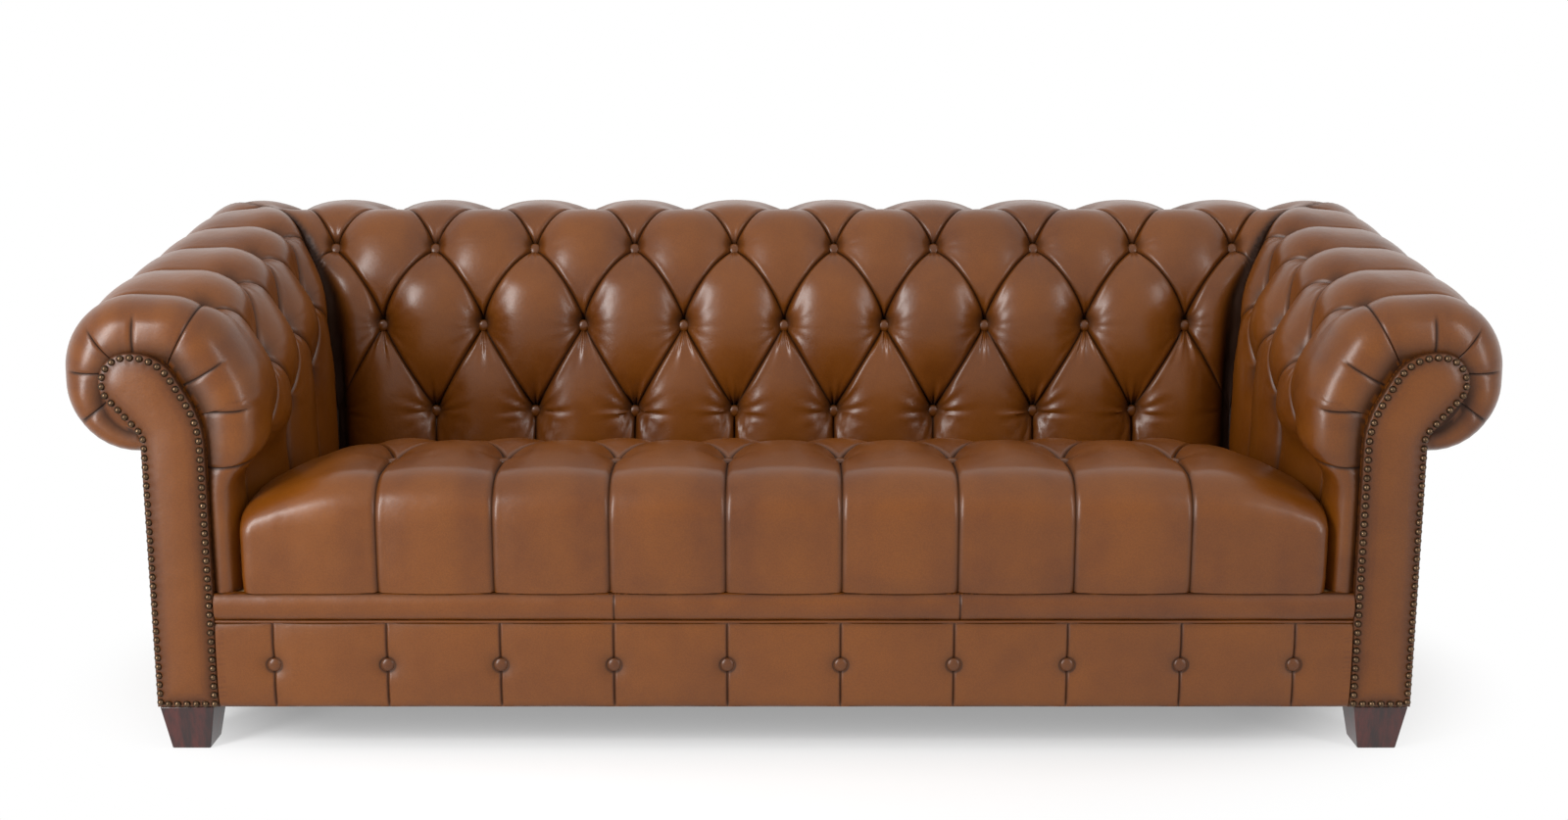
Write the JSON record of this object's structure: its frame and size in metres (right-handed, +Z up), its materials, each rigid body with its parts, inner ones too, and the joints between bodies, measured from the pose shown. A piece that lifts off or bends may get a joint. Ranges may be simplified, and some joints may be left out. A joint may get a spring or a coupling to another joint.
{
  "type": "leather sofa",
  "caption": "Rolled-arm leather sofa with a deep-buttoned back, arms and fixed seat, nail-trimmed arm facings, a buttoned front panel and tapered dark wood feet",
  "frame": {"origin": "on the floor, under the middle of the sofa", "axes": "+X towards the right arm as seen from the front, +Y towards the back, +Z up"},
  "size_m": [2.29, 0.88, 0.823],
  "materials": {
    "leather": "burnished, semi-gloss",
    "button_leather": "burnished, semi-gloss",
    "frame_timber": "sawn, bare",
    "foot_wood": "dark stain, satin lacquer",
    "nail_brass": "antique, polished crown",
    "spring_steel": "oiled",
    "foam": "matte foam",
    "cloth": "woven, matte"
  },
  "bodies": {
    "root": {"back_cushion": "leather", "front_band": "leather", "front_panel": "leather", "front_welt": "leather", "left_arm_cushion": "leather", "left_arm_facing": "leather", "left_outside_arm": "leather", "outside_back": "leather", "right_arm_cushion": "leather", "right_arm_facing": "leather", "right_outside_arm": "leather", "seat_cushion": "leather", "back_buttons": "button_leather", "front_panel_buttons": "button_leather", "left_arm_buttons": "button_leather", "right_arm_buttons": "button_leather", "seat_buttons": "button_leather", "back_lower_rail": "frame_timber", "back_middle_rail": "frame_timber", "back_rail": "frame_timber", "back_top_rail": "frame_timber", "back_uprights": "frame_timber", "corner_blocks": "frame_timber", "front_rail": "frame_timber", "left_arm_lower_rail": "frame_timber", "left_arm_middle_rail": "frame_timber", "left_arm_top_rail": "frame_timber", "left_arm_upright": "frame_timber", "left_front_post": "frame_timber", "left_rear_post": "frame_timber", "left_side_rail": "frame_timber", "right_arm_lower_rail": "frame_timber", "right_arm_middle_rail": "frame_timber", "right_arm_top_rail": "frame_timber", "right_arm_upright": "frame_timber", "right_front_post": "frame_timber", "right_rear_post": "frame_timber", "right_side_rail": "frame_timber", "spring_rail": "frame_timber", "stretchers": "frame_timber", "left_front_foot": "foot_wood", "left_rear_foot": "foot_wood", "right_front_foot": "foot_wood", "right_rear_foot": "foot_wood", "left_facing_nails": "nail_brass", "right_facing_nails": "nail_brass", "foot_bolts": "spring_steel", "seat_springs": "spring_steel", "spring_clips": "spring_steel", "seat_foam": "foam", "back_webbing": "cloth", "dust_cover": "cloth", "left_arm_webbing": "cloth", "right_arm_webbing": "cloth", "seat_deck": "cloth"}
  },
  "joints": []
}
